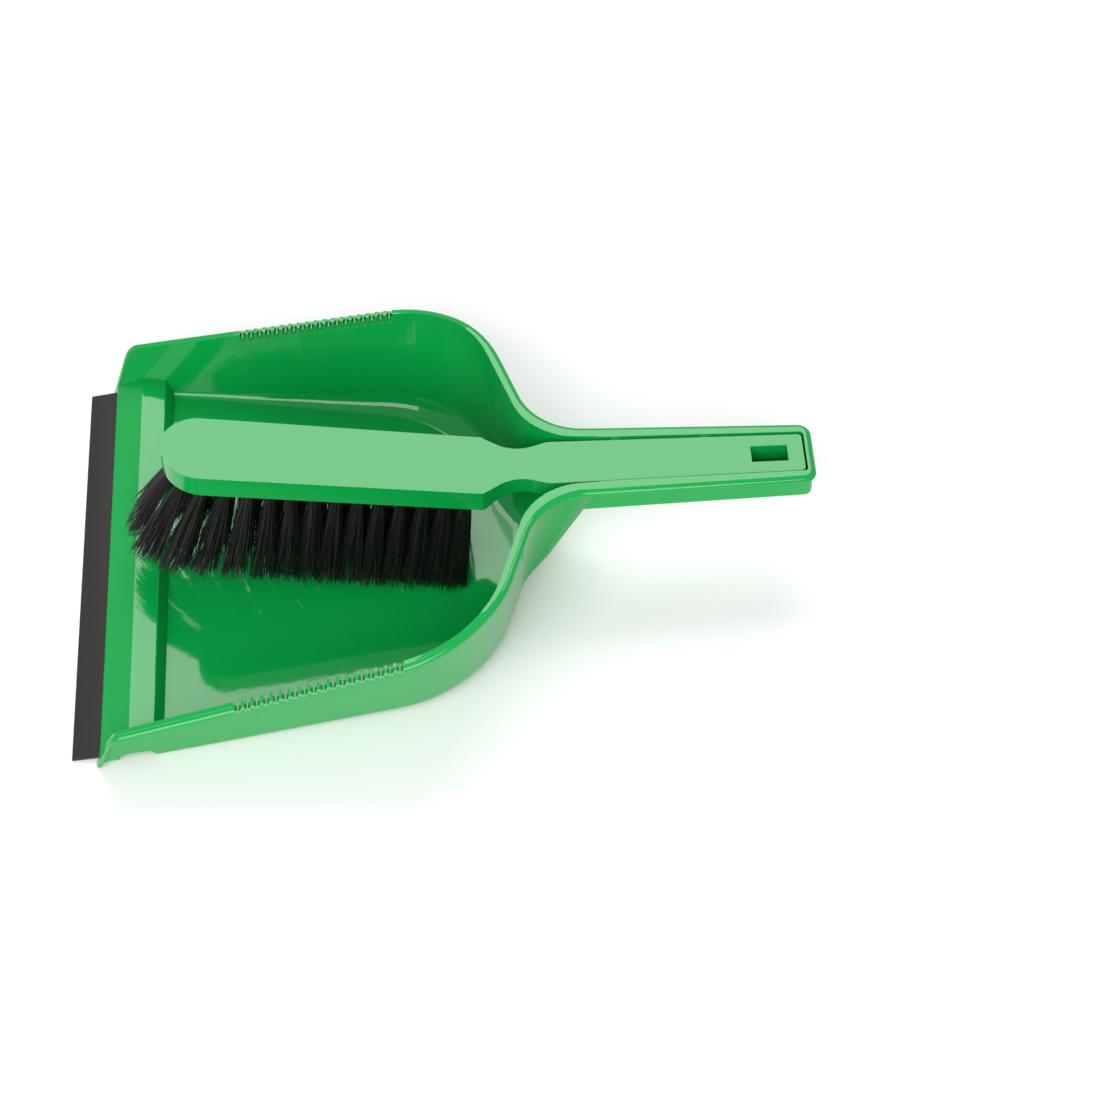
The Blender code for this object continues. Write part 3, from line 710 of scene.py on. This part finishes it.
# %% [markdown]
# ## The brush's body
# The block and its handle are one piece: a plan extruded upward, kept only where it lies
# inside the side view. The block falls to the handle at the bend, and two hollows in the plan
# make the neck. Then come the holes for the bristles and the slot to hang it by.

# %% Brush body
BLOCK_HALF = 0.0175
BLOCK_BACK = (0.1832, 0.0164)
NECK = (0.1975, 0.0070)
BEND_RADIUS = 0.060
UNDERSIDE_STEP = 0.008
BLOCK_THICKNESS = 0.0110
HANG_SLOT_MARGIN = 0.0072
HANG_SLOT_LENGTH = 0.0158
HANG_SLOT_HALF = 0.0042
HANG_SLOT_ROUNDING = 0.0005
HANG_SLOT_WITHIN = 0.0003
BRUSH_ROUNDING = 0.0013
BRUSH_SMOOTH = 32
OUTLINE_STEPS = 20
BLOCK_TILT = math.atan2(NOSE_HEIGHT - BEND[1], BEND[0] - NOSE_X)


def block_top(x):
    return on_line((NOSE_X, NOSE_HEIGHT), BEND, x)


def block_bottom(x):
    return block_top(x) - BLOCK_THICKNESS / math.cos(BLOCK_TILT)


brush_plan = rounded([(NOSE_X, 0, 0), (NOSE_X, BLOCK_HALF, BLOCK_HALF), (*BLOCK_BACK, 0.002),
                      (*NECK, 0.018), (*HANDLE_START, 0.008),
                      (BRUSH_END, brush_handle_half(BRUSH_END), 0.002), (BRUSH_END, 0, 0)],
                     OUTLINE_STEPS)[1:-1]
brush_plan += [Vector((point.x, -point.y)) for point in reversed(brush_plan[1:])]
ahead_x = NOSE_X - FAR
brush_top = [(ahead_x, block_top(ahead_x), 0), (*BEND, BEND_RADIUS), (LENGTH, handle_top(LENGTH), 0)]
back_x = BLOCK_BACK[0]
root_x = back_x + UNDERSIDE_STEP
brush_under = [(ahead_x, block_bottom(ahead_x), 0), (back_x, block_bottom(back_x), 0.004),
               (root_x, handle_top(root_x) - GRIP_THICKNESS, 0.010),
               (LENGTH, handle_top(LENGTH) - GRIP_THICKNESS, 0)]
brush = slab("brush", brush_plan, -FAR, 2 * FAR)
side_view = rounded(brush_top, OUTLINE_STEPS) + list(reversed(rounded(brush_under)))
combine(brush, slab("side_view", side_view, -FAR, FAR, upright=True), "INTERSECT")


slot_end = BRUSH_END - HANG_SLOT_MARGIN
slot_start = slot_end - HANG_SLOT_LENGTH


def is_top_edge(edge):
    """Between a face that looks up and one that looks sideways."""
    slopes = sorted(face.normal.z for face in edge.link_faces)
    return slopes[1] > 0.7 and abs(slopes[0]) < 0.3


def is_slot_edge(edge):
    """The upper edges of the hang slot."""
    ends = [vertex.co for vertex in edge.verts]
    return is_top_edge(edge) and all(
        abs(end.y) < HANG_SLOT_HALF + HANG_SLOT_WITHIN
        and slot_start - HANG_SLOT_WITHIN < end.x < slot_end + HANG_SLOT_WITHIN for end in ends)


round_edges(brush, is_top_edge, BRUSH_ROUNDING, 4)
hang_slot = block("hang_slot", (slot_start, -HANG_SLOT_HALF, 0), (slot_end, HANG_SLOT_HALF, 2 * FAR))
combine(brush, hang_slot, "DIFFERENCE")
round_edges(brush, is_slot_edge, HANG_SLOT_ROUNDING, 2)

# %% [markdown]
# ## Bristles
# The bristles stand in tufts: an outer row that runs round the nose and an inner row on each
# side. A tuft spreads from a hole two millimetres in radius to a tip more than twice as wide.
# Each strand is a thin five-sided tube. It leaves the hole nearly straight and bends a little
# more towards its tip, as nylon does, and no two are alike.

# %% Where the tufts stand
TUFT_LENGTH = 0.0480
TUFT_ROOT = 0.0021
TUFT_HOLE_DEPTH = 0.0070
OUTER_ROW_Y = 0.0115
INNER_ROW_Y = 0.0040
ROW_BACK = 0.1760
ROW_HALF_COUNT = 14
INNER_COUNT = 12
INNER_FRONT = 0.0660
OUTER_SPLAY = math.radians(14)
INNER_SPLAY = math.radians(4)
NOSE_FAN = math.radians(24)
NOSE_FAN_LENGTH = 0.045


def tuft_places():
    """Name, x, y and outward direction of each tuft's root."""
    places = []
    straight = ROW_BACK - (NOSE_X + BLOCK_HALF)
    pitch = (straight + OUTER_ROW_Y * math.pi / 2) / ROW_HALF_COUNT
    for index in range(ROW_HALF_COUNT):
        along = index * pitch
        x, y, outward = ROW_BACK - along, OUTER_ROW_Y, Vector((0, 1))
        if along > straight:
            turn = (along - straight) / OUTER_ROW_Y
            outward = Vector((-math.sin(turn), math.cos(turn)))
            x, y = NOSE_X + BLOCK_HALF + OUTER_ROW_Y * outward.x, OUTER_ROW_Y * outward.y
        places.append(("tuft_outer_left_%02d" % (index + 1), x, y, outward))
        other_way = Vector((outward.x, -outward.y))
        places.append(("tuft_outer_right_%02d" % (index + 1), x, -y, other_way))
    places.append(("tuft_nose", NOSE_X + BLOCK_HALF - OUTER_ROW_Y, 0, Vector((-1, 0))))
    step = (ROW_BACK - pitch / 2 - INNER_FRONT) / (INNER_COUNT - 1)
    for index in range(INNER_COUNT):
        x = ROW_BACK - pitch / 2 - index * step
        places.append(("tuft_inner_left_%02d" % (index + 1), x, INNER_ROW_Y, None))
        places.append(("tuft_inner_right_%02d" % (index + 1), x, -INNER_ROW_Y, None))
    return places


def nose_share(x):
    """One at the nose, falling to nothing where the fan ends."""
    return max(0.0, 1 - (x - NOSE_X) / NOSE_FAN_LENGTH)


def tuft_direction(x, y, outward):
    """From root to tip: down from the block, splayed out and fanned at the nose."""
    down = Vector((-math.sin(BLOCK_TILT), 0, -math.cos(BLOCK_TILT)))
    if outward is None:
        sideways = math.copysign(math.tan(INNER_SPLAY), y)
    else:
        sideways = outward.y * math.tan(OUTER_SPLAY)
    return (down + Vector((-math.tan(NOSE_FAN * nose_share(x)), sideways, 0))).normalized()


tufts = tuft_places()
print(len(tufts), "tufts")

# %% [markdown]
# The holes are cut in one step. Each is a cylinder primitive set at right angles to the block.

# %% Holes in the block
UP_FROM_BLOCK = Vector((math.sin(BLOCK_TILT), 0, math.cos(BLOCK_TILT)))
ALONG_BLOCK = Vector((math.cos(BLOCK_TILT), 0, -math.sin(BLOCK_TILT)))
holes = []
for name, x, y, outward in tufts:
    clear_selection()
    bpy.ops.mesh.primitive_cylinder_add(vertices=16, radius=TUFT_ROOT + GAP, depth=2 * TUFT_HOLE_DEPTH,
                                        location=(x, y, block_bottom(x)), rotation=(0, BLOCK_TILT, 0))
    bpy.ops.object.transform_apply(location=True, rotation=True, scale=True)
    holes.append(bpy.context.object)
combine(brush, join("holes", holes), "DIFFERENCE")
smooth(brush, BRUSH_SMOOTH, weighted=True)
print("brush body has", len(brush.data.polygons), "faces")

# %% [markdown]
# A tube follows three rules: where it starts in the hole, which way it leans, and how far its
# tip has wandered. The strands of a tuft are cut to nearly the same length.

# %% Strands
STRANDS = 130
STRANDS_MORE = 0.5                      # this share more in the tuft at the nose
STRAND_SIDES = 5
STRAND_STEPS = 6
STRAND_RADIUS = 0.00015
TIP_RADIUS = 0.75                       # share of that at the tip
HOLE_FILL = 0.92                        # share of the tuft's radius that the strands start in
SEAT = 0.7                              # share of the hole's depth that they reach into
STRAY_SHARE = 0.04
STRAY_SPREAD = 1.5                      # how much further the strays spread
SCATTER = 0.0009                        # of the tips
BOW = 0.0007                            # of a strand's middle
SHORTEST = 0.940                        # share of the full length
LATE_BEND = 0.15                        # share of the bending that comes late
SPREAD_ALONG = 0.0054                   # at the tips, where neighbouring tufts mingle
SPREAD_ACROSS = 0.0046
FAN_SPREAD = 0.45                       # how much wider the tufts at the nose spread
FLOOR_CLEAR = 0.0007
rng = random.Random(7)


def strand_line(root, way, along, aside, fan):
    """Points from inside the hole to the tip of one strand."""
    lengthwise = rng.uniform(-1, 1)
    crosswise = rng.uniform(-1, 1) * math.sqrt(1 - lengthwise * lengthwise)
    start = root + (along * lengthwise + aside * crosswise) * (TUFT_ROOT * HOLE_FILL)
    wander = 1.0 if rng.random() > STRAY_SHARE else STRAY_SPREAD
    spread = along * (lengthwise * (SPREAD_ALONG * (1 + FAN_SPREAD * fan) - TUFT_ROOT) * wander)
    spread += aside * (crosswise * (SPREAD_ACROSS - TUFT_ROOT) * wander)
    spread += Vector((rng.gauss(0, SCATTER), rng.gauss(0, SCATTER), 0))
    reach = TUFT_LENGTH * rng.uniform(SHORTEST, 1.0)
    bow = Vector((rng.gauss(0, BOW), rng.gauss(0, BOW), 0))
    points = [start - way * (TUFT_HOLE_DEPTH * SEAT)]
    for step in range(STRAND_STEPS):
        share = step / (STRAND_STEPS - 1)
        eased = (1 - LATE_BEND) * share + LATE_BEND * share * share
        point = start + way * (reach * share) + spread * eased
        points.append(point + bow * math.sin(math.pi * share))
    return [Vector((point.x, point.y, max(point.z, FLOOR + FLOOR_CLEAR))) for point in points]


def bundle(name, x, y, outward):
    """All the strands of one tuft as one object made of tubes."""
    way = tuft_direction(x, y, outward)
    along = Vector((outward.y, -outward.x, 0)) if outward else ALONG_BLOCK
    aside = way.cross(along).normalized()
    fan = nose_share(x)
    root = Vector((x, y, block_bottom(x)))
    strands = round(STRANDS * (1 + STRANDS_MORE * fan))
    lines = [strand_line(root, way, along, aside, fan) for _ in range(strands)]
    rows = len(lines[0])
    across = STRAND_SIDES
    clear_selection()
    bpy.ops.mesh.primitive_grid_add(x_subdivisions=across - 1, y_subdivisions=rows * strands - 1)
    piece = bpy.context.object
    piece.name = name
    mesh = bmesh.new()
    mesh.from_mesh(piece.data)
    bmesh.ops.delete(mesh, geom=mesh.faces[:] + mesh.edges[:], context="EDGES_FACES")
    tone = mesh.verts.layers.float.new("tone")
    mesh.verts.ensure_lookup_table()
    for number, line in enumerate(lines):
        shade = rng.random() ** 2
        for row, point in enumerate(line):
            onward = (line[min(row + 1, rows - 1)] - line[max(row - 1, 0)]).normalized()
            first = onward.cross(Vector((1, 0, 0))).normalized()
            second = onward.cross(first)
            radius = STRAND_RADIUS * (TIP_RADIUS if row == rows - 1 else 1.0)
            for side in range(across):
                angle = 2 * math.pi * side / across
                vertex = mesh.verts[(number * rows + row) * across + side]
                vertex.co = point + (first * math.cos(angle) + second * math.sin(angle)) * radius
                vertex[tone] = shade
        base = number * rows * across
        for row in range(rows - 1):
            for side in range(across):
                a = base + row * across + side
                b = base + row * across + (side + 1) % across
                mesh.faces.new([mesh.verts[i] for i in (a, b, b + across, a + across)])
        mesh.faces.new([mesh.verts[base + side] for side in reversed(range(across))])
        mesh.faces.new([mesh.verts[base + (rows - 1) * across + side] for side in range(across)])
    mesh.to_mesh(piece.data)
    mesh.free()
    face_out(piece)
    smooth(piece, 60)
    return piece


bundles = [bundle("bristles_" + name[5:], x, y, outward) for name, x, y, outward in tufts]
print(len(bundles), "bundles of", STRANDS, "strands or more")

# %% [markdown]
# Every tuft is held by a flat wire anchor that lies across its hole, above the fold of the
# bristles. The anchors are steel, so they are a piece of their own.

# %% Wire anchors
ANCHOR = (0.0026, 0.0003, 0.0014)       # along the block, across, and up
ANCHOR_DEPTH = 0.78                     # share of the hole's depth
anchors = []
for name, x, y, outward in tufts:
    middle = Vector((x, y, block_bottom(x))) + UP_FROM_BLOCK * (TUFT_HOLE_DEPTH * ANCHOR_DEPTH)
    clear_selection()
    bpy.ops.mesh.primitive_cube_add(size=1, location=middle, rotation=(0, BLOCK_TILT, 0),
                                    scale=ANCHOR)
    bpy.ops.object.transform_apply(location=True, rotation=True, scale=True)
    anchors.append(bpy.context.object)
anchor_piece = join("wire_anchors", anchors)
print(len(anchors), "anchors")

# %% [markdown]
# ## Materials
# The plastic is a strong green that lets almost no red back. Its surface is smooth but not
# quite flat: a moulding ripples a little, and so do the edges of what it mirrors.

# %% Materials
def new_material(name, colour, roughness):
    material = bpy.data.materials.new(name)
    material.use_nodes = True
    shader = material.node_tree.nodes["Principled BSDF"]
    shader.inputs["Base Color"].default_value = (*colour, 1)
    shader.inputs["Roughness"].default_value = roughness
    shader.inputs["IOR"].default_value = 1.5
    return material, shader


def ripple(material, shader, scale, strength, distance):
    """Fine noise in object space, fed to the normal."""
    nodes, links = material.node_tree.nodes, material.node_tree.links
    place = nodes.new("ShaderNodeTexCoord")
    noise = nodes.new("ShaderNodeTexNoise")
    noise.inputs["Scale"].default_value = scale
    noise.inputs["Detail"].default_value = 2
    bump = nodes.new("ShaderNodeBump")
    bump.inputs["Strength"].default_value = strength
    bump.inputs["Distance"].default_value = distance
    links.new(place.outputs["Object"], noise.inputs["Vector"])
    links.new(noise.outputs["Fac"], bump.inputs["Height"])
    links.new(bump.outputs["Normal"], shader.inputs["Normal"])


pan_green, shader = new_material("pan_green", (0.003, 0.335, 0.060), 0.06)
ripple(pan_green, shader, scale=260, strength=0.05, distance=0.0005)
brush_green, shader = new_material("brush_green", (0.003, 0.315, 0.055), 0.10)
ripple(brush_green, shader, scale=300, strength=0.08, distance=0.0005)
rubber, shader = new_material("rubber", (0.015, 0.013, 0.011), 0.55)
ripple(rubber, shader, scale=900, strength=0.3, distance=0.0003)
steel, shader = new_material("wire_steel", (0.55, 0.55, 0.55), 0.35)
shader.inputs["Metallic"].default_value = 1.0

# %% [markdown]
# Nylon bristles are near black, and each strand differs a little from the next. The tone that
# was stored on every strand drives that difference.

# %% Bristle material
bristle, shader = new_material("bristle", (0.010, 0.010, 0.012), 0.38)
nodes, links = bristle.node_tree.nodes, bristle.node_tree.links
tone = nodes.new("ShaderNodeAttribute")
tone.attribute_name = "tone"
mix = nodes.new("ShaderNodeMix")
mix.data_type = "RGBA"
mix.inputs[6].default_value = (0.0010, 0.0009, 0.0010, 1)
mix.inputs[7].default_value = (0.016, 0.014, 0.014, 1)
links.new(tone.outputs["Fac"], mix.inputs[0])
links.new(mix.outputs[2], shader.inputs["Base Color"])
print("materials:", [material.name for material in bpy.data.materials])

# %% [markdown]
# ## Light
# One large softbox hangs behind and above the set, and the flat tops of the mouldings mirror
# it, which is what makes them pale. A second one, further off, lights the set from in front.
# The floor is white and runs far beyond the picture.

# %% Floor, softboxes and world
LIGHT_AIM = (0, 0, 0.04)


def softbox(name, azimuth, elevation, distance, width, height, radiance):
    """A rectangular light that faces the set. Its angles are in degrees, azimuth from behind."""
    lamp = bpy.data.lights.new(name, "AREA")
    lamp.shape = "RECTANGLE"
    lamp.size = width
    lamp.size_y = height
    lamp.energy = radiance * math.pi * width * height
    holder = bpy.data.objects.new(name, lamp)
    bpy.context.scene.collection.objects.link(holder)
    azimuth, elevation = math.radians(azimuth), math.radians(elevation)
    way = Vector((math.sin(azimuth) * math.cos(elevation), math.cos(azimuth) * math.cos(elevation),
                  math.sin(elevation)))
    holder.location = Vector(LIGHT_AIM) + way * distance
    holder.rotation_euler = way.to_track_quat("Z", "Y").to_euler()


clear_selection()
bpy.ops.mesh.primitive_plane_add(size=6, location=(0, 0, 0))
floor = bpy.context.object
floor.name = "floor"
floor_white, shader = new_material("floor_white", (0.93, 0.93, 0.93), 0.9)
shader.inputs["Specular IOR Level"].default_value = 0.1
floor.data.materials.append(floor_white)

softbox("softbox_back", azimuth=2.2, elevation=50, distance=1.3, width=1.18, height=0.60,
        radiance=3.9)
softbox("softbox_front", azimuth=195, elevation=40, distance=1.9, width=1.8, height=1.4,
        radiance=4.6)
world = bpy.data.worlds.new("world")
bpy.context.scene.world = world
world.use_nodes = True
world.node_tree.nodes["Background"].inputs["Color"].default_value = (1, 1, 1, 1)
world.node_tree.nodes["Background"].inputs["Strength"].default_value = 0.45
bpy.context.scene.view_settings.view_transform = "Standard"

# %% [markdown]
# ## Put the pieces on the frame
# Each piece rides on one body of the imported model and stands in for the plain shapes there.

# %% Ride, replace and report
finish_piece(pan, pan_green, "pan", nodes=["dustpan"])
finish_piece(lip, rubber, "lip", nodes=["rubber_lip"])
finish_piece(brush, brush_green, "brush", nodes=["brush_body"])
for piece, place in zip(bundles, tufts):
    finish_piece(piece, bristle, "brush", nodes=[place[0]])
finish_piece(anchor_piece, steel, "brush")
